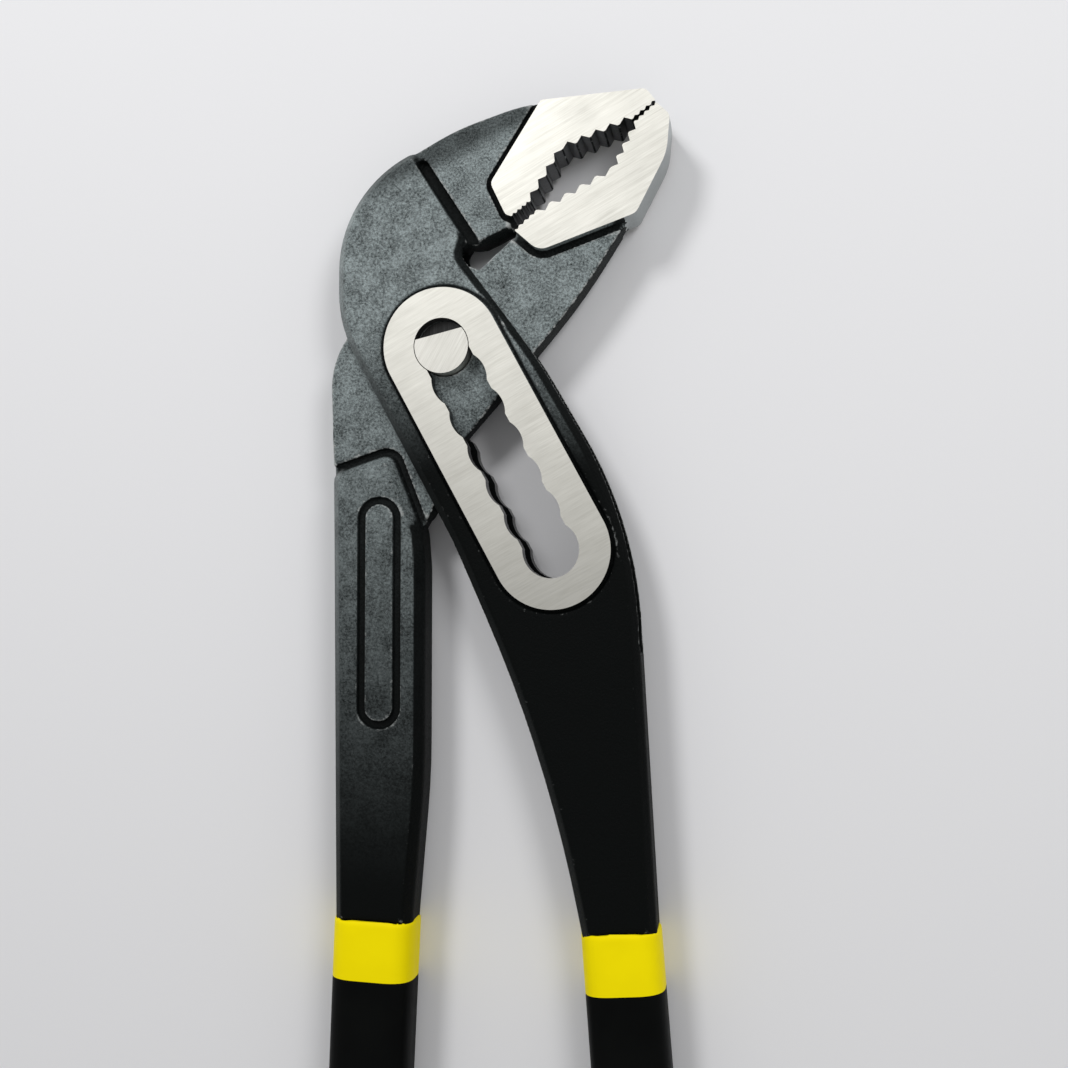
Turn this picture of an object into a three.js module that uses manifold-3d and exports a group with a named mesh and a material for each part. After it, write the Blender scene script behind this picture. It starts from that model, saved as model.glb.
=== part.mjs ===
// Water pump pliers with a box joint and a slotted, seven-seat adjustment.
// Millimetres, +Z up. The tool lies flat on z = 0 with its jaws towards +Y.
// The origin is the pivot pin's axis at the first seat, on the back of the tool.
import * as THREE from 'three';
import { mergeVertices } from 'three/addons/utils/BufferGeometryUtils.js';
import Module from 'manifold-3d';

// Thickness levels: each is half the thickness, counted from the mid plane.
const bossHalf = 6;
const bodyHalf = 5.4;
const padHalf = 4.5;
const jawHalf = 4;
const webHalf = 3;
const windowClearance = 0.3;

// Pivot pin and slot.
const pinDiameter = 9.9;
const pinFlatHeight = 2.3;
const pinFlatAngle = 13.5;
const pinFitGap = 0.15;
const coreDiameter = 4;
const coreGap = 0.3;
const coreLength = 9;
const seatClearance = 0.15;
const seatCount = 7;
const seatPitch = 7;
const slotLean = 28.4;
const neckWidth = 8.8;
const bossRadius = 10.7;

// Slotted arm: shoulders beside the boss, hook and handle corners.
const leftShoulder = 4.6;
const rightShoulder = 4.4;
const bodyDraft = 1.6;
const bodyDraftHeight = 2.4;
const edgeRadius = 0.6;
const hookLeft = -20;
const hookTop = [13, 44.1];
const hookBack = [hookLeft, 29.6];
const hookRadius = 24;
const hookTopRadius = 31;
const jawStep = [[-4.8, 36.3], [4.6, 20.2]];
const throatNotch = [3.4, 16.6];
const notchRadius = 1.5;
const hipRadius = 77;
const leftHipRise = 10;
const rightHipDrop = 2.4;
const waistAlong = 10.2;
const waistTuck = 0.9;
const shoulderAlong = -9.3;
const shoulderMargin = 0.7;
const rightKnee = [19, -74.5, 250];

// Jaws: where each face starts at the throat, its slope and its length.
const upperFace = { root: [12.7, 23.5], slope: 37.2, length: 32.8 };
const lowerFace = { root: [13.1, 21], slope: 40.7, length: 33.9 };
const upperNotch = { start: 4.2, apex: 14.5, end: 27.6, depth: 4.8, lowTeeth: 4, highTeeth: 5 };
const lowerNotch = { start: 5.2, apex: 20.2, end: 28.8, depth: 4.4, lowTeeth: 5, highTeeth: 4 };
const toothDepth = 0.9;
const fineToothDepth = 0.35;
const fineToothPitch = 1.2;
const throatWall = [6.2, 19.8];
const jawRoot = [[-9, 30], [-3, 20]];
const upperPad = [[18, 44.6], [8.7, 29.8, 1.5], [11.5, 23.9, 0.8]];
const upperTip = [37, 45.8];
const lowerTip = [41.3, 40.7];
const lowerCheek = [40.7, 33.8, 10];
const lowerPad = [[35.2, 23.2, 2], [17.6, 17, 3]];
const tipRadius = 1.4;

// Through arm: eye, lobe, jaw edge and the foot of the thick handle.
const eyeRadius = 15.7;
const lobeLeft = -21.7;
const lobeRadius = 16;
const lobeTangent = 138.7;
const eyeEnd = 66;
const webThroat = [12.6, 19.9];
const webEdge = [25.2, 9.2, 120];
const webHeel = [3.5, -16.6, 4];
const webTail = [[-0.2, -22.5, 8], [-2.2, -29.5], [-6, -36], [-16, -36], [-20.6, -32]];
const stepLine = [[-20.9, -22.6], [-9.7, -18.9]];
const stepSide = [[-7, -25.8, 12], [-4, -33.5, 6], [-3.5, -40, 20]];
const leftKnee = [-3.5, -78, 150];
const labelTop = -31.2;
const labelBottom = -65.2;
const labelAcross = -11.6;
const labelRadius = 4;
const labelGroove = 0.9;
const labelDepth = 0.5;

// Window through the slotted arm: its arch over the eye and its floor under the last seat.
const archPoints = [[16, 22], [6, 18.9], [0, 18.4], [-8, 19.1], [-14, 18.1], [-32, 10.4]];
const floorPoints = [[-4.5, -37.1], [-1.3, -30.1], [0.8, -23.1], [5, -18.4]];
const windowReach = 30;

// Handles and dipped grips: top centre, tilt from straight down, widths and lengths.
const rightGrip = { top: [31.8, -103.6], tilt: 4.3, topWidth: 14.2, endWidth: 14.6 };
const leftGrip = { top: [-12.8, -103], tilt: -2.2, topWidth: 15.2, endWidth: 14.2 };
const gripLength = 100.8;
const collarLength = 11.2;
const gripWall = 1;
const gripGap = 0.3;
const gripProud = 0.5;
const gripRounding = 3;
const gripEndRadius = 6;
const gripEndWall = 4;
const collarSeam = 0.3;

const chordGap = 0.05;
const widestStep = Math.PI / 6;
const roundSides = 48;
const throughMargin = 2;
const leastStep = 0.02;

const wasm = await Module();
wasm.setup();

const pinRadius = pinDiameter / 2;
const seatRadius = pinRadius + seatClearance;
const midHeight = bossHalf;
const radians = THREE.MathUtils.degToRad;
const slotAxis = new THREE.Vector2(Math.sin(radians(slotLean)), -Math.cos(radians(slotLean)));
const slotSide = new THREE.Vector2(-slotAxis.y, slotAxis.x);
const slotLength = seatPitch * (seatCount - 1);

function slotPoint(along, across) {
  const point = slotAxis.clone().multiplyScalar(along).addScaledVector(slotSide, across);
  return [point.x, point.y];
}

function beyondLastSeat([x, y]) {
  return [slotAxis.x * slotLength + x, slotAxis.y * slotLength + y];
}

function arcSteps(radius, sweep) {
  const step = Math.min(widestStep, 2 * Math.acos(Math.max(0, 1 - chordGap / radius)));
  return Math.max(2, Math.ceil(Math.abs(sweep) / step));
}

// Corners are [x, y] or [x, y, radius]; a radius becomes an arc tangent to both edges.
// Two arcs that would meet on a short edge share its length.
function roundCorners(corners) {
  const count = corners.length;
  const spots = corners.map(([x, y]) => new THREE.Vector2(x, y));
  const edgeTo = (from, to) => spots[(to + count) % count].clone().sub(spots[(from + count) % count]);
  const halves = spots.map((_, index) => {
    const back = edgeTo(index, index - 1).normalize();
    const ahead = edgeTo(index, index + 1).normalize();
    return Math.acos(THREE.MathUtils.clamp(back.dot(ahead), -1, 1)) / 2;
  });
  const wanted = corners.map(([, , radius = 0], index) => radius / Math.tan(halves[index]));
  const share = (from, to) => {
    const needed = wanted[(from + count) % count] + wanted[(to + count) % count];
    return Math.min(1, edgeTo(from, to).length() / Math.max(needed, leastStep));
  };
  const points = [];
  spots.forEach((corner, index) => {
    const reach = wanted[index] * Math.min(share(index, index - 1), share(index, index + 1));
    if (reach < leastStep) {
      points.push(corner);
      return;
    }
    const half = halves[index];
    const back = edgeTo(index, index - 1).normalize();
    const ahead = edgeTo(index, index + 1).normalize();
    const centre = back.clone().add(ahead).normalize().multiplyScalar(reach / Math.cos(half)).add(corner);
    const start = back.multiplyScalar(reach).add(corner).sub(centre);
    const end = ahead.multiplyScalar(reach).add(corner).sub(centre);
    const sweep = Math.atan2(start.cross(end), start.dot(end));
    const steps = arcSteps(start.length(), sweep);
    for (let step = 0; step <= steps; step += 1) {
      points.push(start.clone().rotateAround(new THREE.Vector2(), (sweep * step) / steps).add(centre));
    }
  });
  return points.filter((point, index) => point.distanceTo(points.at(index - 1)) > leastStep);
}

function arcPoints(radius, fromAngle, toAngle) {
  const steps = arcSteps(radius, toAngle - fromAngle);
  return Array.from({ length: steps + 1 }, (_, step) => {
    const angle = fromAngle + ((toAngle - fromAngle) * step) / steps;
    return [radius * Math.cos(angle), radius * Math.sin(angle)];
  });
}

// A plate centred on the mid plane, with drafted upper and lower edges where draft is given.
function plate(corners, half, draft = 0, draftHeight = draft) {
  const geometry = new THREE.ExtrudeGeometry(new THREE.Shape(roundCorners(corners)), {
    depth: 2 * (half - (draft ? draftHeight : 0)),
    bevelEnabled: draft > 0,
    bevelThickness: draftHeight,
    bevelSize: draft,
    bevelOffset: -draft,
    bevelSegments: 2,
    curveSegments: roundSides,
  });
  geometry.translate(0, 0, midHeight - half + (draft ? draftHeight : 0));
  return solid(geometry);
}

function disc(radius, half, [x, y] = [0, 0], height = midHeight) {
  const geometry = new THREE.CylinderGeometry(radius, radius, 2 * half, roundSides);
  geometry.rotateX(Math.PI / 2);
  geometry.translate(x, y, height);
  return solid(geometry);
}

function capsule(from, to, radius, half, height = midHeight) {
  const along = new THREE.Vector2(to[0] - from[0], to[1] - from[1]);
  const bar = new THREE.BoxGeometry(along.length(), 2 * radius, 2 * half);
  bar.rotateZ(along.angle());
  bar.translate((from[0] + to[0]) / 2, (from[1] + to[1]) / 2, height);
  return solid(bar).add(disc(radius, half, from, height)).add(disc(radius, half, to, height));
}

function solid(geometry) {
  const bare = geometry.index ? geometry.toNonIndexed() : geometry;
  bare.deleteAttribute('normal');
  bare.deleteAttribute('uv');
  const merged = mergeVertices(bare, 1e-4);
  return new wasm.Manifold(new wasm.Mesh({
    numProp: 3,
    vertProperties: new Float32Array(merged.attributes.position.array),
    triVerts: new Uint32Array(merged.index.array),
  }));
}

function meshOf(name, body, material) {
  const data = body.getMesh();
  const geometry = new THREE.BufferGeometry();
  geometry.setAttribute('position', new THREE.BufferAttribute(data.vertProperties, 3));
  geometry.setIndex(new THREE.BufferAttribute(data.triVerts, 1));
  geometry.computeVertexNormals();
  const mesh = new THREE.Mesh(geometry, material);
  mesh.name = name;
  return mesh;
}

// One jaw face from throat to tip: fine teeth, a toothed notch for pipe, fine teeth again.
// side is +1 where the jaw's metal lies to the left of the face and -1 where it lies to the right.
function jawFace(face, notch, side) {
  const slope = radians(face.slope);
  const profile = [];
  const fineTeeth = (from, to) => {
    const count = Math.max(1, Math.round((to - from) / fineToothPitch));
    for (let tooth = 0; tooth < count; tooth += 1) {
      profile.push([from + ((to - from) * tooth) / count, 0]);
      profile.push([from + ((to - from) * (tooth + 0.5)) / count, fineToothDepth]);
    }
  };
  const flankTeeth = (from, to, fromDepth, toDepth, count) => {
    for (let tooth = 0; tooth < count; tooth += 1) {
      const valley = (tooth + 0.5) / count;
      const depthAt = (share) => fromDepth + (toDepth - fromDepth) * share;
      profile.push([from + ((to - from) * tooth) / count, Math.max(0, depthAt(tooth / count) - toothDepth)]);
      profile.push([from + (to - from) * valley, depthAt(valley)]);
    }
  };
  fineTeeth(0, notch.start);
  flankTeeth(notch.start, notch.apex, toothDepth, notch.depth, notch.lowTeeth);
  flankTeeth(notch.apex, notch.end, notch.depth, toothDepth, notch.highTeeth);
  fineTeeth(notch.end, face.length);
  profile.push([face.length, 0]);
  return profile.map(([along, depth]) => [
    face.root[0] + along * Math.cos(slope) - side * depth * Math.sin(slope),
    face.root[1] + along * Math.sin(slope) + side * depth * Math.cos(slope),
  ]);
}

// A grip's own frame: along runs down the handle from the grip's top, across to its right.
function gripPoint(grip, along, across) {
  const tilt = radians(grip.tilt);
  return [
    grip.top[0] + along * Math.sin(tilt) + across * Math.cos(tilt),
    grip.top[1] - along * Math.cos(tilt) + across * Math.sin(tilt),
  ];
}

function gripHalfWidth(grip, along) {
  const share = along / gripLength;
  return (grip.topWidth + (grip.endWidth - grip.topWidth) * share) / 2;
}

function gripBand(grip, from, to, inset, endRadius) {
  const corner = (along, side, radius) => {
    return [...gripPoint(grip, along, side * (gripHalfWidth(grip, along) - inset)), radius];
  };
  return [corner(from, -1), corner(to, -1, endRadius), corner(to, 1, endRadius), corner(from, 1)];
}

// The steel tang inside a grip starts a little inside the handle so that both are one forging.
function tang(grip) {
  const inset = gripWall + gripGap;
  const end = gripLength - gripEndWall;
  return plate(gripBand(grip, -inset, end, inset, gripEndRadius - inset), bossHalf - inset, bodyDraft);
}

// One length of the dipped coat: the whole coat cut square to the handle at both ends.
function gripShell(grip, from, to) {
  const coat = plate(gripBand(grip, -2 * gripRounding, gripLength, 0, gripEndRadius), bossHalf, gripRounding);
  const length = plate(gripBand(grip, from, to, -throughMargin, 0), bossHalf + throughMargin);
  const cavityEnd = gripLength - gripEndWall + gripGap;
  const cavity = gripBand(grip, -2 * gripRounding, cavityEnd, gripWall, gripEndRadius - gripWall);
  return coat.intersect(length).subtract(plate(cavity, bossHalf - gripWall, bodyDraft));
}

function slottedArm() {
  const leftEdge = -(bossRadius + leftShoulder);
  const rightEdge = bossRadius + rightShoulder;
  const foot = slotPoint((hookLeft - slotSide.x * leftEdge) / slotAxis.x, leftEdge);
  const handleHalf = gripHalfWidth(rightGrip, 0) - gripProud;
  const body = plate([
    [...jawStep[0], bodyDraft + edgeRadius],
    [...hookBack, hookRadius],
    [...foot, hookRadius],
    [...slotPoint(slotLength - leftHipRise, leftEdge), hipRadius],
    rightKnee,
    gripPoint(rightGrip, 0, -handleHalf),
    gripPoint(rightGrip, 0, handleHalf),
    [...slotPoint(slotLength + rightHipDrop, rightEdge), hipRadius],
    [...slotPoint(waistAlong, rightEdge - waistTuck), hipRadius],
    [...slotPoint(shoulderAlong, bossRadius + shoulderMargin), bodyDraft + edgeRadius],
    [...throatNotch, notchRadius],
    [...jawStep[1], bodyDraft + edgeRadius],
  ], bodyHalf, bodyDraft, bodyDraftHeight);
  const face = jawFace(upperFace, upperNotch, 1);
  const jaw = plate([
    throatWall,
    ...face,
    [...upperTip, tipRadius],
    [...hookTop, hookTopRadius],
    jawStep[0],
    ...jawRoot,
  ], jawHalf);
  const pad = plate([
    ...face,
    [...upperTip, tipRadius],
    ...upperPad,
  ], padHalf);
  const boss = capsule([0, 0], slotPoint(slotLength, 0), bossRadius, bossHalf);
  const windowOutline = [
    ...archPoints,
    beyondLastSeat([-2 * windowReach, floorPoints.at(0)[1]]),
    ...floorPoints.map(beyondLastSeat),
    beyondLastSeat([windowReach, floorPoints.at(-1)[1]]),
    [2 * windowReach, archPoints[0][1]],
  ];
  let arm = body.add(jaw).add(pad).add(boss).add(tang(rightGrip));
  arm = arm.subtract(plate(windowOutline, webHalf + windowClearance));
  arm = arm.subtract(capsule([0, 0], slotPoint(slotLength, 0), neckWidth / 2, bossHalf + throughMargin));
  for (let seat = 0; seat < seatCount; seat += 1) {
    arm = arm.subtract(disc(seatRadius, bossHalf + throughMargin, slotPoint(seat * seatPitch, 0)));
  }
  return arm;
}

function throughArm() {
  const face = jawFace(lowerFace, lowerNotch, -1);
  const tangentAngle = radians(lobeTangent);
  const lobeSlope = tangentAngle - Math.PI / 2;
  const tangentPoint = [eyeRadius * Math.cos(tangentAngle), eyeRadius * Math.sin(tangentAngle)];
  const lobeCorner = tangentPoint[1] + ((lobeLeft - tangentPoint[0]) * Math.sin(lobeSlope)) / Math.cos(lobeSlope);
  const web = plate([
    ...face,
    [...lowerTip, tipRadius],
    lowerCheek,
    webEdge,
    webHeel,
    ...webTail,
    [lobeLeft, lobeCorner, lobeRadius],
    ...arcPoints(eyeRadius, tangentAngle, radians(eyeEnd)),
    webThroat,
  ], webHalf);
  const pad = plate([
    ...face,
    [...lowerTip, tipRadius],
    lowerCheek,
    ...lowerPad,
  ], padHalf);
  const handleHalf = gripHalfWidth(leftGrip, 0) - gripProud;
  const handle = plate([
    [...stepLine[0], bodyDraft + edgeRadius],
    gripPoint(leftGrip, 0, -handleHalf),
    gripPoint(leftGrip, 0, handleHalf),
    leftKnee,
    ...stepSide.toReversed(),
    [...stepLine[1], bodyDraft + edgeRadius],
  ], bodyHalf, bodyDraft, bodyDraftHeight);
  const grooveHeight = midHeight + bodyHalf;
  const labelFrom = [labelAcross, labelTop];
  const labelTo = [labelAcross, labelBottom];
  const groove = capsule(labelFrom, labelTo, labelRadius, labelDepth, grooveHeight)
    .subtract(capsule(labelFrom, labelTo, labelRadius - labelGroove, labelDepth + throughMargin, grooveHeight));
  return web.add(pad).add(handle).add(tang(leftGrip)).subtract(groove)
    .subtract(disc(pinRadius + pinFitGap, bossHalf));
}

// Round where it sits in the through arm, with a flat on both ends that lets it pass the slot's necks.
function pivotPin() {
  const flat = new THREE.BoxGeometry(pinDiameter * 2, pinDiameter, bossHalf - webHalf);
  flat.translate(0, pinFlatHeight + pinDiameter / 2, (bossHalf - webHalf) / 2);
  flat.rotateZ(radians(pinFlatAngle));
  const backFlat = solid(flat.clone());
  const frontFlat = solid(flat.clone().translate(0, 0, bossHalf + webHalf));
  const bore = disc(coreDiameter / 2 + coreGap, (coreLength + coreGap) / 2, [0, 0], (coreLength + coreGap) / 2);
  return disc(pinRadius, bossHalf).subtract(backFlat).subtract(frontFlat).subtract(bore);
}

function steel(color, roughness) {
  return new THREE.MeshStandardMaterial({ color, roughness, metalness: 0.9 });
}

function vinyl(color) {
  return new THREE.MeshStandardMaterial({ color, roughness: 0.5, metalness: 0 });
}

const forgedSteel = steel(0x2a2d2e, 0.6);
const groundSteel = steel(0xd2d0c8, 0.35);
const blackVinyl = vinyl(0x1c1f1f);
const yellowVinyl = vinyl(0xeede05);

const collarEnd = collarLength - collarSeam;
const pliers = new THREE.Group();
pliers.add(
  meshOf('slotted_arm', slottedArm(), forgedSteel),
  meshOf('through_arm', throughArm(), forgedSteel),
  meshOf('pivot_pin', pivotPin(), groundSteel),
  meshOf('pivot_core', disc(coreDiameter / 2, coreLength / 2, [0, 0], coreLength / 2), groundSteel),
  meshOf('right_grip_collar', gripShell(rightGrip, gripGap, collarEnd), yellowVinyl),
  meshOf('right_grip', gripShell(rightGrip, collarLength, gripLength + throughMargin), blackVinyl),
  meshOf('left_grip_collar', gripShell(leftGrip, gripGap, collarEnd), yellowVinyl),
  meshOf('left_grip', gripShell(leftGrip, collarLength, gripLength + throughMargin), blackVinyl),
);

export default pliers;
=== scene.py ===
import math

import bmesh
import bpy
import numpy as np
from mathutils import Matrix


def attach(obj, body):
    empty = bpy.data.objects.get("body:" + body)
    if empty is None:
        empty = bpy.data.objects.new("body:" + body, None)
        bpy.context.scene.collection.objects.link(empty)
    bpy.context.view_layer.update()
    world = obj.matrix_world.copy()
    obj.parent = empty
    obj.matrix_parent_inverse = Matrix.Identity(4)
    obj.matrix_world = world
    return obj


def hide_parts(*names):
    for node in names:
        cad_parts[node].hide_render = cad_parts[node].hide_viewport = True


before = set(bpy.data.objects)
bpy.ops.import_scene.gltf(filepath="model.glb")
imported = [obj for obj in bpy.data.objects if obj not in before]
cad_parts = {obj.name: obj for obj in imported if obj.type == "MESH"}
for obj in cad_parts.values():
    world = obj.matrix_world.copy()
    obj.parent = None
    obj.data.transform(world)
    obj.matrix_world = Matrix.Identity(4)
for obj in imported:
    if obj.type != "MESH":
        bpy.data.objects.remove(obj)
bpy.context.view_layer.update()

import openvdb
from mathutils import Vector

# Water pump pliers: two soft forgings with ground faces, a D-shaped pin and dipped grips.
# Sizes are in millimetres, as in the CAD frame, and turn into metres when a mesh is made.
mm = 0.001
tiny = 1e-9  # keeps a division from meeting zero
scene = bpy.context.scene

# Heights of the faces above and below the middle plane, which is at mid
levels = dict(mid=6.0, boss=6.0, body=5.4, pad=4.5, jaw=4.0, web=3.0, window=3.15)
slot = dict(pinDiameter=9.9, clearance=0.15, seats=7, pitch=7.0, lean=28.4, neck=8.8, bossRadius=10.7,
            sides=96, reach=40.0, barReach=38.0)
slotAxis = np.array([math.sin(math.radians(slot["lean"])), -math.cos(math.radians(slot["lean"]))])
slotSide = np.array([-slotAxis[1], slotAxis[0]])
slotLength = slot["pitch"] * (slot["seats"] - 1)
seatRadius = slot["pinDiameter"] / 2 + slot["clearance"]


def slotPoint(along, across):
    return tuple(slotAxis * along + slotSide * across)


# Outlines: corners are (x, y) or (x, y, radius)
def roundedOutline(corners, chord=0.02):
    count = len(corners)
    spots = [np.array(c[:2], float) for c in corners]
    wanted, halves = [], []
    for i, corner in enumerate(corners):
        back = spots[i - 1] - spots[i]
        ahead = spots[(i + 1) % count] - spots[i]
        cosine = back.dot(ahead) / (np.linalg.norm(back) * np.linalg.norm(ahead))
        halves.append(math.acos(max(-1.0, min(1.0, cosine))) / 2)
        radius = corner[2] if len(corner) > 2 else 0.0
        wanted.append(radius / math.tan(halves[-1]))
    edges = [np.linalg.norm(spots[(i + 1) % count] - spots[i]) for i in range(count)]
    share = [min(1.0, edges[i] / max(wanted[i] + wanted[(i + 1) % count], tiny)) for i in range(count)]
    points = []
    for i, corner in enumerate(spots):
        reach = wanted[i] * min(share[i - 1], share[i])
        if reach < chord:
            points.append(corner)
            continue
        back = (spots[i - 1] - corner) / edges[i - 1]
        ahead = (spots[(i + 1) % count] - corner) / edges[i]
        middle = back + ahead
        centre = corner + middle / np.linalg.norm(middle) * reach / math.cos(halves[i])
        start, end = corner + back * reach - centre, corner + ahead * reach - centre
        sweep = math.atan2(start[0] * end[1] - start[1] * end[0], start.dot(end))
        radius = np.linalg.norm(start)
        steps = max(2, math.ceil(abs(sweep) / (2 * math.acos(max(0.0, 1 - chord / radius)))))
        for step in range(steps + 1):
            turn = sweep * step / steps
            points.append(centre + np.array([
                start[0] * math.cos(turn) - start[1] * math.sin(turn),
                start[0] * math.sin(turn) + start[1] * math.cos(turn)]))
    return points


# Fields: signed distance in mm, below zero inside, sampled at the pitch
scale = dict(pitch=0.36, keep=0.45, outside=4.0, lastCell=1.01, sharp=38.0)
# How far two fields blend where they meet, and how round the slabs' upper edges are
blends = dict(cut=0.3, join=0.3, pad=0.15, tang=0.8, window=0.1, label=0.25)
roundings = dict(jaw=0.4, web=0.4, pad=0.2, tang=0.6, window=0.3, hollow=0.4)


def flatDistance(outline, xs, ys):
    px, py = np.meshgrid(xs, ys, indexing="ij")
    best = np.full(px.shape, np.inf)
    inside = np.zeros(px.shape, bool)
    for a, b in zip(outline, outline[1:] + outline[:1]):
        ex, ey = b[0] - a[0], b[1] - a[1]
        along = np.clip(((px - a[0]) * ex + (py - a[1]) * ey) / max(ex * ex + ey * ey, tiny), 0, 1)
        best = np.minimum(best, (px - a[0] - along * ex) ** 2 + (py - a[1] - along * ey) ** 2)
        if a[1] != b[1]:
            crosses = (a[1] > py) != (b[1] > py)
            inside ^= crosses & (px < a[0] + (py - a[1]) / ey * ex)
    distance = np.sqrt(best)
    return np.where(inside, -distance, distance).astype(np.float32)


def capsuleDistance(start, end, radius, xs, ys):
    px, py = np.meshgrid(xs, ys, indexing="ij")
    ex, ey = end[0] - start[0], end[1] - start[1]
    along = np.clip(((px - start[0]) * ex + (py - start[1]) * ey) / (ex * ex + ey * ey), 0, 1)
    return (np.hypot(px - start[0] - along * ex, py - start[1] - along * ey) - radius).astype(np.float32)


def softMax(a, b, k):
    blend = np.maximum(k - np.abs(a - b), 0) / k
    return np.maximum(a, b) + blend * blend * (k / 4)


def softMin(a, b, k):
    return -softMax(-a, -b, k)


def riseOf(heights):
    return np.abs(heights - levels["mid"])[None, None, :].astype(np.float32)


# A forged slab: an upright land at the parting line, a drafted wall and a rounded upper edge
def slabField(flat, heights, half, rounding, draft=0.0, draftHeight=0.0):
    side = flat[:, :, None]
    rise = riseOf(heights)
    field = side
    if draft:
        length = math.hypot(draft, draftHeight)
        wall = (side * draftHeight + (rise - (half - draftHeight)) * draft) / length
        field = softMax(side, wall, rounding)
    return softMax(field, rise - half, rounding)


def cutDown(field, flat, heights, floor):
    trench = softMax(flat[:, :, None], floor - riseOf(heights), blends["cut"])
    return softMax(field, -trench, blends["cut"])


# The band just outside an outline
def ringOf(flat, width):
    return np.abs(flat - width / 2) - width / 2


# A narrow trench in a lower face, along the foot of a raised outline; trench is (width, depth)
def trenched(field, flat, heights, level, trench):
    return cutDown(field, ringOf(flat, trench[0]), heights, level - trench[1])


def fieldAxes(low, high, pitch):
    return [np.arange(a, b + pitch, pitch) for a, b in zip(low, high)]


def skinOf(name, field, axes, pitch, keep):
    grid = openvdb.FloatGrid(scale["outside"] * pitch)
    grid.copyFromArray(np.ascontiguousarray(field, np.float32))
    points, triangles, quads = grid.convertToPolygons(isovalue=0.0, adaptivity=0.0)
    start = np.array([axis[0] for axis in axes])
    mesh = bpy.data.meshes.new(name)
    faces = [tuple(int(i) for i in face) for face in list(quads) + list(triangles)]
    mesh.from_pydata(((points * pitch + start) * mm).tolist(), [], faces)
    piece = newPiece(name, mesh)
    bm = bmesh.new()
    bm.from_mesh(mesh)
    bmesh.ops.triangulate(bm, faces=bm.faces)
    bmesh.ops.recalc_face_normals(bm, faces=bm.faces)
    bm.to_mesh(mesh)
    bm.free()
    thin = piece.modifiers.new("thin", "DECIMATE")
    thin.ratio = keep
    applyModifiers(piece)
    return piece


def newPiece(name, mesh):
    piece = bpy.data.objects.new(name, mesh)
    scene.collection.objects.link(piece)
    return piece


def applyModifiers(piece):
    bpy.context.view_layer.update()
    made = bpy.data.meshes.new_from_object(piece.evaluated_get(bpy.context.evaluated_depsgraph_get()))
    piece.modifiers.clear()
    old = piece.data
    piece.data = made
    made.name = piece.name
    bpy.data.meshes.remove(old)


# Outlines run counter-clockwise as seen from +Z, so all faces look outward
def prism(name, outline, bottom, top, material):
    count = len(outline)
    corners = [(x * mm, y * mm, height * mm) for height in (bottom, top) for x, y in outline]
    sides = [(i, (i + 1) % count, count + (i + 1) % count, count + i) for i in range(count)]
    mesh = bpy.data.meshes.new(name)
    mesh.from_pydata(corners, [], [range(count - 1, -1, -1), range(count, 2 * count), *sides])
    mesh.materials.append(material)
    return newPiece(name, mesh)


def cutAway(piece, cutters):
    for cutter in cutters:
        cut = piece.modifiers.new(cutter.name, "BOOLEAN")
        cut.operation = "DIFFERENCE"
        cut.solver = "MANIFOLD"
        cut.material_mode = "TRANSFER"
        cut.object = cutter
        applyModifiers(piece)
        bpy.data.objects.remove(cutter)


# Shader maths: a socket that adds, multiplies and so on, and makes any other node
class Wire:
    def __init__(self, tree, socket):
        self.tree = tree
        self.socket = socket

    def feed(self, socket, value):
        if isinstance(value, Wire):
            self.tree.links.new(value.socket, socket)
        else:
            socket.default_value = value

    def node(self, kind, settings=None, sockets=None, outlet=0):
        made = self.tree.nodes.new(kind)
        for key, value in (settings or {}).items():
            setattr(made, key, value)
        for key, value in (sockets or {}).items():
            self.feed(made.inputs[key], value)
        return Wire(self.tree, made.outputs[outlet])

    def maths(self, operation, left, right):
        return self.node("ShaderNodeMath", {"operation": operation}, {0: left, 1: right})

    def __add__(self, other):
        return self.maths("ADD", self, other)

    def __sub__(self, other):
        return self.maths("SUBTRACT", self, other)

    def __rsub__(self, other):
        return self.maths("SUBTRACT", other, self)

    def __mul__(self, other):
        return self.maths("MULTIPLY", self, other)

    __radd__ = __add__
    __rmul__ = __mul__


def startFinish(name, settings):
    material = bpy.data.materials.new(name)
    material.use_nodes = True
    tree = material.node_tree
    shader = tree.nodes["Principled BSDF"]
    for key, value in settings.items():
        shader.inputs[key].default_value = value
    place = Wire(tree, tree.nodes.new("ShaderNodeTexCoord").outputs["Object"])
    return material, shader, place


def noise(place, fineness, detail=3.0, rough=0.5):
    return place.node("ShaderNodeTexNoise", {}, {
        "Vector": place, "Scale": fineness, "Detail": detail, "Roughness": rough})


# A noise value's way from its middle, as an addition to something else
def swing(value, reach, middle=0.5):
    return (value - middle) * reach


def weighted(wires, weights):
    total = wires[0] * weights[0]
    for wire, weight in zip(wires[1:], weights[1:]):
        total = total + wire * weight
    return total


def attribute(place, name):
    return place.node("ShaderNodeAttribute", {"attribute_name": name}, {}, "Fac")


def plug(shader, name, wire):
    wire.feed(shader.inputs[name], wire)


def stepped(value, low, high):
    return value.node("ShaderNodeMapRange", {"interpolation_type": "SMOOTHSTEP"},
                      {"Value": value, "From Min": low, "From Max": high})


def mixed(factor, first, second):
    return factor.node("ShaderNodeMix", {"data_type": "RGBA"}, {0: factor, 6: first, 7: second}, 2)


def bumped(height, strength, distance):
    return height.node("ShaderNodeBump", {}, {"Height": height, "Strength": strength, "Distance": distance})


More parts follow.
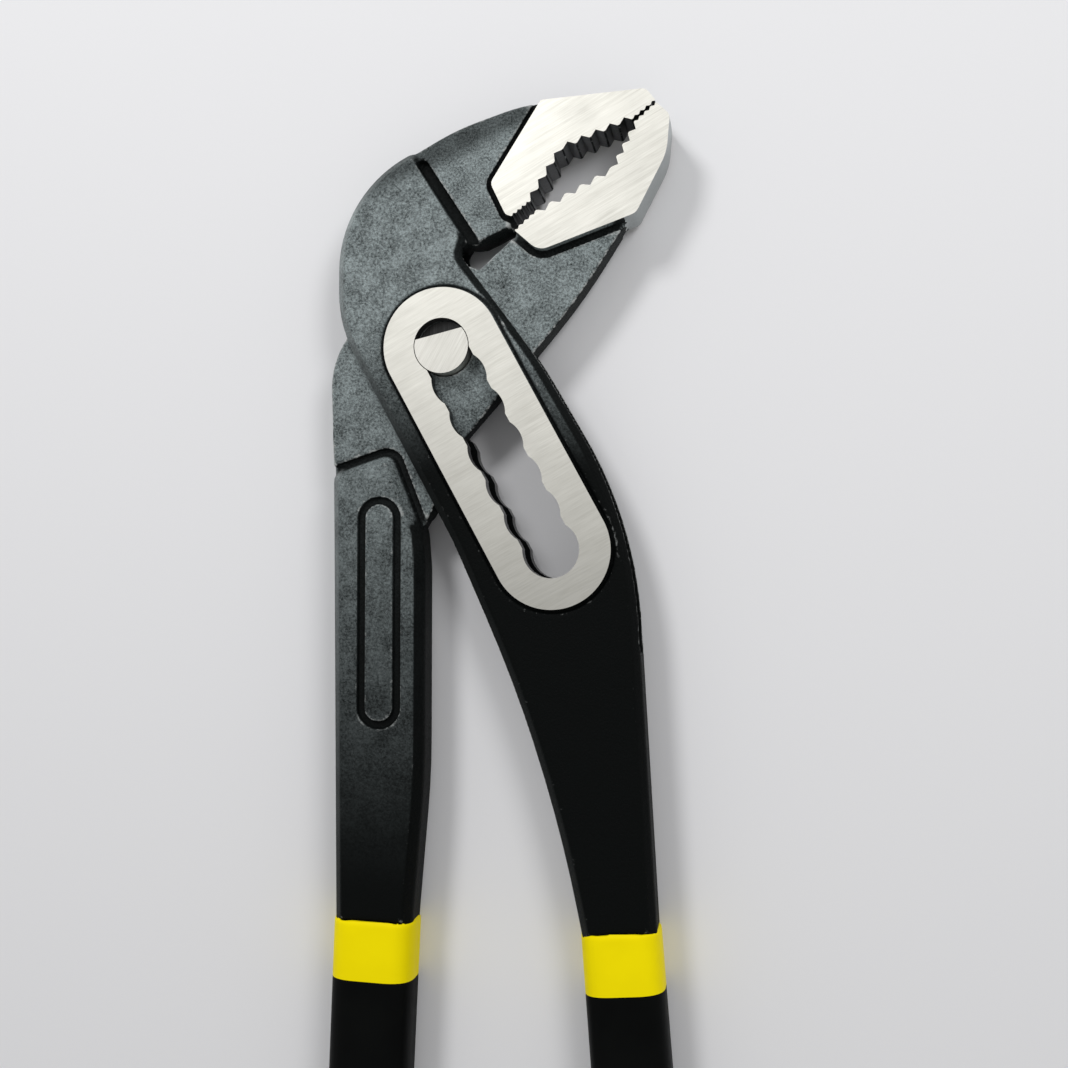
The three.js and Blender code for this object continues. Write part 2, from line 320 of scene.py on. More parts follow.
# Noises are (fineness, detail, roughness), steps and fades are (from, to), a swing is (reach, middle)
# rimHighlight is the colour of a painted highlight, and wallShade the strength of the painted shade
forged = dict(
    dark=(0.0022, 0.0028, 0.0027, 1), pale=(0.43, 0.495, 0.5, 1), worn=(0.5, 0.52, 0.51, 1),
    rimHighlight=(0.46, 0.5, 0.5, 1), specular=0.035, coarse=(2500.0, 3.0, 0.6), fine=(6500.0, 2.0),
    patches=(240.0, 4.0, 0.6), specks=(900.0, 4.0, 0.75), grainMix=(0.6, 0.4), patchSwing=0.3,
    grainStep=(0.24, 0.82), recessShadePale=0.02, speckSwing=(0.4, 0.61), wearStep=(0.06, 0.15), wallShade=0.95,
    rimByLight=0.35, rimBase=0.04, rimPatch=0.5, wornByLight=0.4, wornBase=0.3, roughness=0.5, roughSwing=0.3,
    bumpMix=(0.8, 0.4, 0.6), bumpStrength=0.9, bumpDepth=0.00018, topSide=(-0.4, 0.92, 0.0),
    topFade=(0.0293, 0.0333))
forgings = dict(
    slottedSteel=dict(shadedRecess=False, paintedLightFrom=-0.024, paintedLightTo=0.012, topShade=0.65),
    throughSteel=dict(shadedRecess=False, paintedLightFrom=-0.1, paintedLightTo=0.022, topShade=0.0),
    recessShadeSteel=dict(shadedRecess=True, paintedLightFrom=-0.045, paintedLightTo=0.014, topShade=0.0))


# Painted light: the forging's grains are pale grey towards the jaws and nearly black down the handles
def forgedFinish(name, shadedRecess, paintedLightFrom, paintedLightTo, topShade):
    material, shader, place = startFinish(name, {"Specular IOR Level": forged["specular"]})
    coarse, fine, patches = (noise(place, *forged[key]) for key in ("coarse", "fine", "patches"))
    height = place.node("ShaderNodeSeparateXYZ", {}, {"Vector": place}, "Y")
    upward = place.node("ShaderNodeVectorMath", {"operation": "DOT_PRODUCT"},
                        {0: place, 1: forged["topSide"]}, "Value")
    # Painted light falls off down the handles, and painted shade darkens the jaw's top side
    paintedLight = stepped(height, paintedLightFrom, paintedLightTo) * (1 - topShade * stepped(upward, *forged["topFade"]))
    mixture = weighted((coarse, fine), forged["grainMix"]) + swing(patches, forged["patchSwing"])
    grains = stepped(mixture, *forged["grainStep"])
    # A shaded recess keeps its grains near black: painted shade
    color = mixed(grains * paintedLight * (forged["recessShadePale"] if shadedRecess else 1.0), forged["dark"], forged["pale"])
    if not shadedRecess:
        specks = noise(place, *forged["specks"])
        standing = attribute(place, "edgeWear") + swing(specks, *forged["speckSwing"])
        rimShare = paintedLight * forged["rimByLight"] + forged["rimBase"]
        patchShare = forged["rimPatch"] + forged["rimPatch"] * patches
        # Painted shade on walls facing away from the light and in trenches
        color = mixed(attribute(place, "wall") * forged["wallShade"], color, forged["dark"])
        # Painted highlight on rims facing the light
        color = mixed(attribute(place, "rimHighlight") * rimShare * patchShare, color, forged["rimHighlight"])
        # Worn edges, brighter where the painted light is
        wornShare = forged["wornBase"] + paintedLight * forged["wornByLight"]
        color = mixed(stepped(standing, *forged["wearStep"]) * wornShare, color, forged["worn"])
    plug(shader, "Base Color", color)
    plug(shader, "Roughness", forged["roughness"] + swing(fine, forged["roughSwing"]))
    relief = weighted((coarse, fine, patches), forged["bumpMix"])
    plug(shader, "Normal", bumped(relief, forged["bumpStrength"], forged["bumpDepth"]))
    return material


ground = dict(
    metallic=0.92, stretch=(0.02, 1.0, 1.0), lines=(9000.0, 4.0, 0.65), broad=(1440.0, 2.0),
    cloud=(160.0, 2.0), lineMix=(0.75, 0.25), lineStep=(0.3, 0.66), paintedShadeColor=(0, 0, 0, 1), paintedShadeRamp=(-0.06, 0.0),
    paintedShadeShare=0.6, roughness=0.34, lineSwing=0.16, cloudSwing=0.1, bumpStrength=0.2, bumpDepth=0.00003)
# The tooth and slot finishes are near black: painted shade on the cut faces of the teeth, the slot and the
# pin's flats and bore
steels = dict(
    groundSteel=dict(angle=29.0, pale=(0.69, 0.68, 0.63, 1), shade=(0.55, 0.54, 0.49, 1)),
    toothShadeSteel=dict(angle=129.0, pale=(0.1, 0.105, 0.11, 1), shade=(0.03, 0.032, 0.034, 1)),
    slotShadeSteel=dict(angle=90.0, pale=(0.06, 0.06, 0.06, 1), shade=(0.02, 0.02, 0.02, 1)),
    cheekSteel=dict(angle=90.0, pale=(0.4, 0.43, 0.43, 1), shade=(0.3, 0.325, 0.325, 1)),
    pinSteel=dict(angle=62.0, pale=(0.69, 0.68, 0.635, 1), shade=(0.53, 0.52, 0.475, 1)))


# Grinding lines run at the angle; painted shade darkens the steel a little down the boss
def groundFinish(name, angle, pale, shade):
    material, shader, place = startFinish(name, {"Metallic": ground["metallic"]})
    turned = place.node("ShaderNodeMapping", {"vector_type": "TEXTURE"},
                        {"Vector": place, "Rotation": (0, 0, math.radians(angle))})
    along = place.node("ShaderNodeVectorMath", {"operation": "MULTIPLY"}, {0: turned, 1: ground["stretch"]})
    lines, broad = noise(along, *ground["lines"]), noise(along, *ground["broad"])
    cloud = noise(place, *ground["cloud"])
    polished = mixed(stepped(weighted((lines, broad), ground["lineMix"]), *ground["lineStep"]), shade, pale)
    height = place.node("ShaderNodeSeparateXYZ", {}, {"Vector": place}, "Y")
    # Painted shade, darker towards the bottom of the boss
    bright = stepped(height, *ground["paintedShadeRamp"]) * (1 - ground["paintedShadeShare"]) + ground["paintedShadeShare"]
    plug(shader, "Base Color", mixed(bright, ground["paintedShadeColor"], polished))
    rough = ground["roughness"] + swing(lines, ground["lineSwing"]) + swing(cloud, ground["cloudSwing"])
    plug(shader, "Roughness", rough)
    plug(shader, "Normal", bumped(lines, ground["bumpStrength"], ground["bumpDepth"]))
    return material


vinyl = dict(specular=0.04, cloud=(90.0, 3.0), grain=(700.0, 3.0), cloudStep=(0.3, 0.7), cloudSwing=0.2,
             grainSwing=0.12, bumpStrength=0.4, bumpDepth=0.00006)
vinyls = dict(
    blackVinyl=dict(dark=(0.0008, 0.001, 0.001, 1), pale=(0.0018, 0.0022, 0.002, 1), roughness=0.5),
    yellowVinyl=dict(dark=(0.93, 0.76, 0.001, 1), pale=(0.98, 0.81, 0.001, 1), roughness=0.45))


def vinylFinish(name, dark, pale, roughness):
    material, shader, place = startFinish(name, {"Specular IOR Level": vinyl["specular"]})
    cloud, grain = noise(place, *vinyl["cloud"]), noise(place, *vinyl["grain"])
    plug(shader, "Base Color", mixed(stepped(cloud, *vinyl["cloudStep"]), dark, pale))
    rough = roughness + swing(cloud, vinyl["cloudSwing"]) + swing(grain, vinyl["grainSwing"])
    plug(shader, "Roughness", rough)
    plug(shader, "Normal", bumped(grain, vinyl["bumpStrength"], vinyl["bumpDepth"]))
    return material


slottedSteel, throughSteel, recessShadeSteel = (forgedFinish(name, **look) for name, look in forgings.items())
groundSteel, toothShadeSteel, slotShadeSteel, cheekSteel, pinSteel = (
    groundFinish(name, **look) for name, look in steels.items())
blackVinyl, yellowVinyl = (vinylFinish(name, **look) for name, look in vinyls.items())
print("finishes made")


# Jaw faces: a point by distance along the face and depth into the metal
upperFace = dict(root=(12.7, 23.5), slope=37.2, length=32.8, side=1, start=4.2, apex=14.5, end=27.6,
                 depth=4.8, lowTeeth=4, highTeeth=5)
lowerFace = dict(root=(13.1, 21.0), slope=40.7, length=33.9, side=-1, start=5.2, apex=20.2, end=28.8,
                 depth=4.4, lowTeeth=5, highTeeth=4)
teeth = dict(depth=0.9, fineDepth=0.35, finePitch=1.2, overlap=0.05, land=0.14, reach=16.0)


def facePoint(face, along, depth):
    slope = math.radians(face["slope"])
    return (face["root"][0] + along * math.cos(slope) - face["side"] * depth * math.sin(slope),
            face["root"][1] + along * math.sin(slope) + face["side"] * depth * math.cos(slope))


# The face without its teeth, from throat to tip
def plainFace(face):
    crest = face["depth"] - teeth["depth"]
    return [facePoint(face, 0, 0), facePoint(face, face["start"], 0), facePoint(face, face["apex"], crest),
            facePoint(face, face["end"], 0), facePoint(face, face["length"], 0)]


# Geometry Nodes: one helper for making a node, then the trees
def putNode(tree, kind, settings, links):
    made = tree.nodes.new(kind)
    for key, value in settings.items():
        setattr(made, key, value)
    for key, value in links.items():
        if isinstance(value, bpy.types.NodeSocket):
            tree.links.new(value, made.inputs[key])
        else:
            made.inputs[key].default_value = value
    return made.outputs[0]


def startTree(name, inputs):
    tree = bpy.data.node_groups.new(name, "GeometryNodeTree")
    for label, kind in inputs:
        tree.interface.new_socket(label, in_out="INPUT", socket_type="NodeSocket" + kind)
    tree.interface.new_socket("Geometry", in_out="OUTPUT", socket_type="NodeSocketGeometry")
    return tree, tree.nodes.new("NodeGroupInput").outputs


def endTree(tree, shape, give):
    real = putNode(tree, "GeometryNodeRealizeInstances", {}, {"Geometry": shape})
    painted = putNode(tree, "GeometryNodeSetMaterial", {}, {"Geometry": real, "Material": give["Steel"]})
    tree.links.new(painted, tree.nodes.new("NodeGroupOutput").inputs["Geometry"])
    return tree


# A row of three-sided cutters along +X, their edges towards +Y, one for each gap between teeth
def toothRowTree():
    tree, give = startTree("toothRow", [
        ("Count", "Int"), ("Pitch", "Float"), ("Width", "Float"), ("Depth", "Float"), ("Stand", "Float"),
        ("Reach", "Float"), ("Start", "Vector"), ("Turn", "Float"), ("Steel", "Material")])
    offset = putNode(tree, "ShaderNodeCombineXYZ", {}, {"X": give["Pitch"]})
    row = putNode(tree, "GeometryNodeMeshLine", {"mode": "OFFSET"}, {
        "Count": give["Count"], "Offset": offset})
    bar = putNode(tree, "GeometryNodeMeshCylinder", {}, {
        "Vertices": 3, "Radius": 1.0, "Depth": give["Reach"]})
    size = putNode(tree, "ShaderNodeCombineXYZ", {}, {"X": give["Depth"], "Y": give["Width"], "Z": 1.0})
    lift = putNode(tree, "ShaderNodeCombineXYZ", {}, {"Y": give["Stand"]})
    shaped = putNode(tree, "GeometryNodeTransform", {}, {
        "Geometry": bar, "Scale": size, "Rotation": (0, 0, math.pi / 2), "Translation": lift})
    gaps = putNode(tree, "GeometryNodeInstanceOnPoints", {}, {"Points": row, "Instance": shaped})
    turn = putNode(tree, "ShaderNodeCombineXYZ", {}, {"Z": give["Turn"]})
    placed = putNode(tree, "GeometryNodeTransform", {}, {
        "Geometry": gaps, "Translation": give["Start"], "Rotation": turn})
    return endTree(tree, placed, give)


# The slot: a row of round seats joined by a narrower bar
def slotTree():
    tree, give = startTree("seatSlot", [
        ("Seats", "Int"), ("Step", "Vector"), ("Radius", "Float"), ("Reach", "Float"), ("Bar", "Vector"),
        ("Middle", "Vector"), ("Turn", "Float"), ("Steel", "Material")])
    row = putNode(tree, "GeometryNodeMeshLine", {"mode": "OFFSET"}, {
        "Count": give["Seats"], "Offset": give["Step"]})
    seat = putNode(tree, "GeometryNodeMeshCylinder", {}, {
        "Vertices": slot["sides"], "Radius": give["Radius"], "Depth": give["Reach"]})
    seats = putNode(tree, "GeometryNodeInstanceOnPoints", {}, {"Points": row, "Instance": seat})
    bar = putNode(tree, "GeometryNodeMeshCube", {}, {"Size": give["Bar"]})
    turn = putNode(tree, "ShaderNodeCombineXYZ", {}, {"Z": give["Turn"]})
    laid = putNode(tree, "GeometryNodeTransform", {}, {
        "Geometry": bar, "Translation": give["Middle"], "Rotation": turn})
    both = tree.nodes.new("GeometryNodeJoinGeometry")
    tree.links.new(seats, both.inputs[0])
    tree.links.new(laid, both.inputs[0])
    real = putNode(tree, "GeometryNodeRealizeInstances", {}, {"Geometry": both.outputs[0]})
    one = putNode(tree, "GeometryNodeMeshBoolean", {"operation": "UNION", "solver": "EXACT"}, {
        "Mesh 2": real, "Self Intersection": True})
    return endTree(tree, one, give)


def grown(name, tree, values):
    piece = newPiece(name, bpy.data.meshes.new(name))
    making = piece.modifiers.new("making", "NODES")
    making.node_group = tree
    for item in tree.interface.items_tree:
        if item.in_out == "INPUT":
            making[item.identifier] = values[item.name]
    applyModifiers(piece)
    return piece


toothRow = toothRowTree()
seatSlot = slotTree()


# A three-sided bar of radius 1 is this high and this wide
unitBar = dict(height=1.5, width=math.sqrt(3))


# One row of tooth gaps between two points of a face; the metal is on the left of the run
def toothGaps(name, face, ends, count, depth):
    first, last = (np.array(facePoint(face, *end)) for end in ends[::face["side"]])
    run = last - first
    pitch = np.linalg.norm(run) / count
    height = depth + teeth["overlap"]
    width = pitch * (1 - teeth["land"]) * height / depth
    angle = math.atan2(run[1], run[0])
    begin = first + run / count / 2
    return grown(name, toothRow, {
        "Count": count, "Pitch": pitch * mm, "Width": width / unitBar["width"] * mm,
        "Depth": height / unitBar["height"] * mm, "Stand": (depth - height / unitBar["height"]) * mm,
        "Reach": teeth["reach"] * mm,
        "Start": (begin[0] * mm, begin[1] * mm, levels["mid"] * mm), "Turn": angle, "Steel": toothShadeSteel})


def jawTeeth(face):
    crest = face["depth"] - teeth["depth"]
    start, apex, end = (face["start"], 0), (face["apex"], crest), (face["end"], 0)
    fineLow = max(1, round(face["start"] / teeth["finePitch"]))
    fineHigh = max(1, round((face["length"] - face["end"]) / teeth["finePitch"]))
    return [
        toothGaps("throatTeeth", face, [(0, 0), start], fineLow, teeth["fineDepth"]),
        toothGaps("lowTeeth", face, [start, apex], face["lowTeeth"], teeth["depth"]),
        toothGaps("highTeeth", face, [apex, end], face["highTeeth"], teeth["depth"]),
        toothGaps("tipTeeth", face, [end, (face["length"], 0)], fineHigh, teeth["fineDepth"])]


print("tools ready")

# Corners are (x, y) or (x, y, radius), trenches are (width, depth)
slottedShape = dict(
    low=(-22.0, -209.0, -0.6), high=(47.0, 49.0, 12.6),
    jawStep=((-5.1, 36.75), (4.6, 20.2)), hookBack=(-20.0, 29.6), hookRadius=24.0,
    hookTop=(14.8, 44.75, 31.0), hookSide=((2.0, 40.75, 45.0), (-6.0, 36.4)), leftShoulder=4.6,
    rightShoulder=4.4, throatNotch=(3.4, 16.6, 1.5), hipRadius=77.0, hipBack=10.0, hipFront=2.4,
    shoulderAt=(10.2, 0.9), headAt=(-9.3, 0.7), rightKnee=(19.0, -74.5, 250.0), corner=2.1, draft=1.5,
    draftHeight=1.8, edge=0.35,
    throatWall=((6.4, 18.5), (13.0, 21.5)), jawRoot=((-9.0, 30.0), (-3.0, 20.0)), jawDraft=0.7,
    jawDraftHeight=2.6, relief=((5.2, 17.6), (5.21, 17.6)), reliefRadius=1.9, bossTrench=(0.7, 0.5),
    stepLine=((-3.9, 33.8), (5.5, 19.3)), stepRadius=0.95, stepDepth=1.3, padTrench=(1.0, 1.1), ahead=1.9,
    pad=((18.0, 44.6), (8.7, 29.8, 1.5), (11.5, 23.9, 0.8)), tip=(37.0, 45.7, 1.4), cheekFrom=36.5,
    arch=((16, 22), (6, 18.9), (0, 18.4), (-8, 19.1), (-14, 18.1), (-32, 10.4)),
    floor=((-4.5, -37.1), (-1.3, -30.1), (0.8, -23.1), (5, -18.4)), windowReach=30.0)
throughShape = dict(
    low=(-24.0, -209.0, -0.6), high=(43.0, 45.0, 12.6),
    eyeRadius=15.7, lobeLeft=-21.7, lobeRadius=16.0, lobeTangent=138.7, eyeEnd=66.0, eyeSteps=40,
    throat=(12.6, 19.9), webEdge=(25.2, 9.2, 120.0), webHeel=(3.5, -16.6, 4.0),
    webTail=((-0.2, -22.5, 8.0), (-2.2, -29.5), (-6.0, -36.0), (-16.0, -36.0), (-20.6, -32.0)),
    stepLine=((-20.9, -22.6), (-9.7, -18.9)),
    stepSide=((-3.5, -40.0, 20.0), (-4.0, -33.5, 6.0), (-7.0, -25.8, 12.0)),
    knee=(-3.5, -78.0, 150.0), tip=(41.3, 40.7, 1.4), cheek=(40.7, 33.8, 10.0), cheekFrom=33.0,
    pad=((35.2, 23.2, 2.0), (17.6, 17.0, 3.0)), corner=2.2, draft=1.6, draftHeight=2.4, edge=0.35,
    padTrench=(1.3, 1.1), stepTrench=(1.3, 1.1), ahead=1.9,
    ridge=((1.4, -10.2), (9.4, -7.8)), ridgeFall=0.22, ridgeReach=6.0, ridgeStart=2.0,
    bore=((0, 0), (0, 0.001)), labelEnds=((-11.6, -31.2), (-11.6, -65.2)), labelRadius=4.0,
    labelGroove=1.35, labelDepth=0.85)
rightGrip = dict(top=(31.8, -103.6), tilt=4.3, topWidth=14.2, endWidth=14.6)
leftGrip = dict(top=(-12.8, -103.0), tilt=-2.2, topWidth=15.2, endWidth=14.2)
dip = dict(length=100.8, collar=11.2, wall=1.0, gap=0.3, proud=0.5, endWall=4.0, tangRadius=4.0, draft=1.6)
grinding = dict(boss=((-40, -80), (60, -80), (60, 30), (-40, 30)),
                upper=((7.2, 19), (60, 19), (60, 60), (-2, 60), (-2, 37.5)),
                lower=((8, 12), (60, 12), (60, 60), (8, 60)), over=4.0, stock=0.5)


def gripPoint(grip, along, across):
    tilt = math.radians(grip["tilt"])
    return (grip["top"][0] + along * math.sin(tilt) + across * math.cos(tilt),
            grip["top"][1] - along * math.cos(tilt) + across * math.sin(tilt))


def gripHalfWidth(grip, along):
    return (grip["topWidth"] + (grip["endWidth"] - grip["topWidth"]) * along / dip["length"]) / 2


def gripBand(grip, start, end, inset, radius):
    corners = []
    for along, side, bend in ((start, -1, 0), (end, -1, radius), (end, 1, radius), (start, 1, 0)):
        corners.append((*gripPoint(grip, along, side * (gripHalfWidth(grip, along) - inset)), bend))
    return roundedOutline(corners)


# The handle's end inside its grip
def withTang(field, grip, axes):
    xs, ys, zs = axes
    inset = dip["wall"] + dip["gap"]
    band = gripBand(grip, -2 * inset, dip["length"] - dip["endWall"], inset, dip["tangRadius"])
    tang = slabField(flatDistance(band, xs, ys), zs, levels["boss"] - inset, roundings["tang"], dip["draft"],
                     dip["draft"])
    return softMin(field, tang, blends["tang"])


# A raised face, left a little too high for the grinding
def withPad(field, flat, heights, half):
    pad = slabField(flat, heights, half + grinding["stock"], roundings["pad"])
    return softMin(field, pad, blends["pad"])


# Beside its field, a form has flat grids of the silhouette, the trenches and the height of the face
def slottedForm():
    shape = slottedShape
    axes = fieldAxes(shape["low"], shape["high"], scale["pitch"])
    xs, ys, zs = axes
    leftEdge = -(slot["bossRadius"] + shape["leftShoulder"])
    rightEdge = slot["bossRadius"] + shape["rightShoulder"]
    foot = slotPoint((shape["hookBack"][0] - slotSide[0] * leftEdge) / slotAxis[0], leftEdge)
    handleHalf = gripHalfWidth(rightGrip, 0) - dip["proud"]
    corner, hip = shape["corner"], shape["hipRadius"]
    shoulder, head = shape["shoulderAt"], shape["headAt"]
    body = roundedOutline([
        (*shape["jawStep"][0], corner), (*shape["hookBack"], shape["hookRadius"]),
        (*foot, shape["hookRadius"]),
        (*slotPoint(slotLength - shape["hipBack"], leftEdge), hip), shape["rightKnee"],
        gripPoint(rightGrip, shape["ahead"], -handleHalf), gripPoint(rightGrip, shape["ahead"], handleHalf),
        (*slotPoint(slotLength + shape["hipFront"], rightEdge), hip),
        (*slotPoint(shoulder[0], rightEdge - shoulder[1]), hip),
        (*slotPoint(head[0], slot["bossRadius"] + head[1]), corner),
        shape["throatNotch"], (*shape["jawStep"][1], corner)])
    face = plainFace(upperFace)
    jaw = roundedOutline([*shape["throatWall"], *face, shape["tip"], shape["hookTop"], *shape["hookSide"],
                          *shape["jawRoot"]])
    pad = roundedOutline([*face, shape["tip"], *shape["pad"]])
    last = slotPoint(slotLength, 0)
    reach, floor = shape["windowReach"], shape["floor"]
    lower = [(last[0] + x, last[1] + y)
             for x, y in ((-2 * reach, floor[0][1]), *floor, (reach, floor[-1][1]))]
    window = roundedOutline([*shape["arch"], *lower, (2 * reach, shape["arch"][0][1])])
    bodyFlat, jawFlat, padFlat = (flatDistance(outline, xs, ys) for outline in (body, jaw, pad))
    bossFlat = capsuleDistance((0, 0), last, slot["bossRadius"], xs, ys)
    relief = capsuleDistance(*shape["relief"], shape["reliefRadius"], xs, ys)
    step = capsuleDistance(*shape["stepLine"], shape["stepRadius"], xs, ys)
    field = slabField(bodyFlat, zs, levels["body"], shape["edge"], shape["draft"], shape["draftHeight"])
    field = softMax(field, -relief[:, :, None], blends["cut"])
    field = trenched(field, bossFlat, zs, levels["body"], shape["bossTrench"])
    jawField = slabField(jawFlat, zs, levels["jaw"], roundings["jaw"], shape["jawDraft"],
                         shape["jawDraftHeight"])
    jawField = trenched(jawField, padFlat, zs, levels["jaw"], shape["padTrench"])
    field = softMin(field, jawField, blends["join"])
    field = cutDown(field, step, zs, levels["jaw"] - shape["stepDepth"])
    field = withTang(field, rightGrip, axes)
    field = withPad(field, padFlat, zs, levels["pad"])
    field = withPad(field, bossFlat, zs, levels["boss"])
    opening = slabField(flatDistance(window, xs, ys), zs, levels["window"], roundings["window"])
    rings = ringOf(bossFlat, shape["bossTrench"][0]), ringOf(padFlat, shape["padTrench"][0])
    return dict(
        field=softMax(field, -opening, blends["window"]), axes=axes, outline=np.minimum(bodyFlat, jawFlat),
        trenches=np.minimum.reduce([step, relief, *rings]),
        top=np.where(bodyFlat < 0, levels["body"], levels["jaw"]))


def throughForm():
    shape = throughShape
    axes = fieldAxes(shape["low"], shape["high"], scale["pitch"])
    xs, ys, zs = axes
    face = plainFace(lowerFace)
    tangent = math.radians(shape["lobeTangent"])
    eye = [(shape["eyeRadius"] * math.cos(a), shape["eyeRadius"] * math.sin(a))
           for a in np.linspace(tangent, math.radians(shape["eyeEnd"]), shape["eyeSteps"])]
    lobeCorner = eye[0][1] + (shape["lobeLeft"] - eye[0][0]) * math.tan(tangent - math.pi / 2)
    web = roundedOutline([
        *face, shape["tip"], shape["cheek"], shape["webEdge"], shape["webHeel"], *shape["webTail"],
        (shape["lobeLeft"], lobeCorner, shape["lobeRadius"]), *eye, shape["throat"]])
    pad = roundedOutline([*face, shape["tip"], shape["cheek"], *shape["pad"]])
    handleHalf = gripHalfWidth(leftGrip, 0) - dip["proud"]
    handle = roundedOutline([
        (*shape["stepLine"][0], shape["corner"]), gripPoint(leftGrip, shape["ahead"], -handleHalf),
        gripPoint(leftGrip, shape["ahead"], handleHalf), shape["knee"], *shape["stepSide"],
        (*shape["stepLine"][1], shape["corner"])])
    webFlat, padFlat, handleFlat = (flatDistance(outline, xs, ys) for outline in (web, pad, handle))
    field = slabField(webFlat, zs, levels["web"], roundings["web"])
    (ax, ay), (bx, by) = shape["ridge"]
    px, py = np.meshgrid(xs, ys, indexing="ij")
    below = ((px - ax) * (by - ay) - (py - ay) * (bx - ax)) / math.hypot(bx - ax, by - ay)
    fall = shape["ridgeFall"] * np.clip(below, 0, shape["ridgeReach"]) * (px > ax - shape["ridgeStart"])
    slope = (levels["web"] - fall)[:, :, None].astype(np.float32)
    field = softMax(field, riseOf(zs) - slope, blends["cut"])
    field = trenched(field, padFlat, zs, levels["web"], shape["padTrench"])
    field = trenched(field, handleFlat, zs, levels["web"], shape["stepTrench"])
    field = withPad(field, padFlat, zs, levels["pad"])
    handleField = slabField(handleFlat, zs, levels["body"], shape["edge"], shape["draft"],
                            shape["draftHeight"])
    field = softMin(field, handleField, blends["join"])
    field = withTang(field, leftGrip, axes)
    label = capsuleDistance(*shape["labelEnds"], shape["labelRadius"], xs, ys)
    ring = ringOf(-label, shape["labelGroove"])
    floor = levels["mid"] + levels["body"] - shape["labelDepth"]
    groove = np.maximum(ring[:, :, None], (floor - zs)[None, None, :].astype(np.float32))
    field = softMax(field, -groove, blends["label"])
    bore = capsuleDistance(*shape["bore"], seatRadius, xs, ys)
    rings = ring, ringOf(padFlat, shape["padTrench"][0]), ringOf(handleFlat, shape["stepTrench"][0])
    return dict(
        field=np.maximum(field, -bore[:, :, None]), axes=axes, outline=np.minimum(webFlat, handleFlat),
        trenches=np.minimum.reduce(rings), top=np.where(handleFlat < 0, levels["body"], levels["web"]))


def meshValues(items, name, width, kind=float):
    values = np.empty(len(items) * width, kind)
    items.foreach_get(name, values)
    return values.reshape(-1, width)


# A flat grid's values at the vertices, blended between its four nearest points
def gridValues(values, places, axes):
    across, up = (
        np.clip((places[:, i] / mm - axes[i][0]) / scale["pitch"], 0, len(axes[i]) - scale["lastCell"])
        for i in (0, 1))
    column, row = across.astype(int), up.astype(int)
    across, up = across - column, up - row
    left = values[column, row] * (1 - up) + values[column, row + 1] * up
    right = values[column + 1, row] * (1 - up) + values[column + 1, row + 1] * up
    return left * (1 - across) + right * across


# Light is the direction of the painted light: how bright a rim highlight is, and how that changes to the
# right and upward. The last five are ramps, (from, to): the slope of the skin, the way in from the
# silhouette, the depth of a trench, the way out of it, and again the way in, where trenches begin to count
# for the painted shade
wearAndShading = dict(upright=0.6, floorReach=0.1, rounds=2, light=(0.25, -0.8, 0.5), steep=(0.93, 0.78),
            edge=(-2.0, -1.6), sunk=(0.05, 0.35), ring=(0.5, 0.15), inside=(-0.2, -0.6))


def ramp(values, start, end):
    return np.clip((values - start) / (end - start), 0, 1)


# The window's inner faces get near-black painted shade, and the jaw's outer wall is bright: materials 1 and 2
# of the mesh
def paintSides(mesh, floor, cheekFrom):
    centres = meshValues(mesh.polygons, "center", 3) / mm
    flat = np.abs(meshValues(mesh.polygons, "normal", 3)[:, 2])
    # Flat faces deep in the window take the painted shade
    deep = (np.abs(centres[:, 2] - levels["mid"]) < floor + wearAndShading["floorReach"]) & (flat > wearAndShading["upright"])
    wall = (centres[:, 0] > cheekFrom) & (centres[:, 1] > 0) & (flat < wearAndShading["upright"])
    mesh.materials.append(recessShadeSteel)
    mesh.materials.append(cheekSteel)
    mesh.polygons.foreach_set("material_index", np.where(wall, 2, deep).astype(np.int32))


# How far each vertex stands out from its neighbours, smoothed along the edges
def sharpness(places, normals, ends):
    first, second = ends[:, 0], ends[:, 1]
    count = len(places)
    run = places[first] - places[second]
    run /= np.maximum(np.linalg.norm(run, axis=1), tiny)[:, None]
    shared = np.maximum(np.bincount(ends.ravel(), minlength=count), 1)
    sharp = np.bincount(first, (normals[first] * run).sum(1), count)
    sharp -= np.bincount(second, (normals[second] * run).sum(1), count)
    sharp /= shared
    for _ in range(wearAndShading["rounds"]):
        near = np.bincount(first, sharp[second], count)
        near += np.bincount(second, sharp[first], count)
        sharp = (sharp + near / shared) / 2
    return sharp


# Attributes for the forged finish: worn edges, a painted highlight on rims that face the light, and painted
# shade on walls that face away from it and in trenches
def markWearAndPaintedLight(mesh, form):
    places = meshValues(mesh.vertices, "co", 3)
    normals = meshValues(mesh.vertices, "normal", 3)
    sharp = sharpness(places, normals, meshValues(mesh.edges, "vertices", 2, int))
    base, across, up = wearAndShading["light"]
    lit = np.clip(base + across * normals[:, 0] + up * normals[:, 1], 0, 1)
    side, hollow, top = (
        gridValues(form[key], places, form["axes"]) for key in ("outline", "trenches", "top"))
    band = ramp(side, *wearAndShading["edge"]) * ramp(np.abs(normals[:, 2]), *wearAndShading["steep"])
    depth = top - np.abs(places[:, 2] / mm - levels["mid"])
    sunk = ramp(depth, *wearAndShading["sunk"]) * ramp(hollow, *wearAndShading["ring"]) * ramp(side, *wearAndShading["inside"])
    # Painted shade on walls facing away from the light and in trenches; painted highlight on rims facing it
    wall = np.maximum(band * (1 - lit), sunk)
    for name, values in (("edgeWear", sharp), ("wall", wall), ("rimHighlight", band * lit)):
        mesh.attributes.new(name, "FLOAT", "POINT").data.foreach_set("value", values.astype(np.float32))


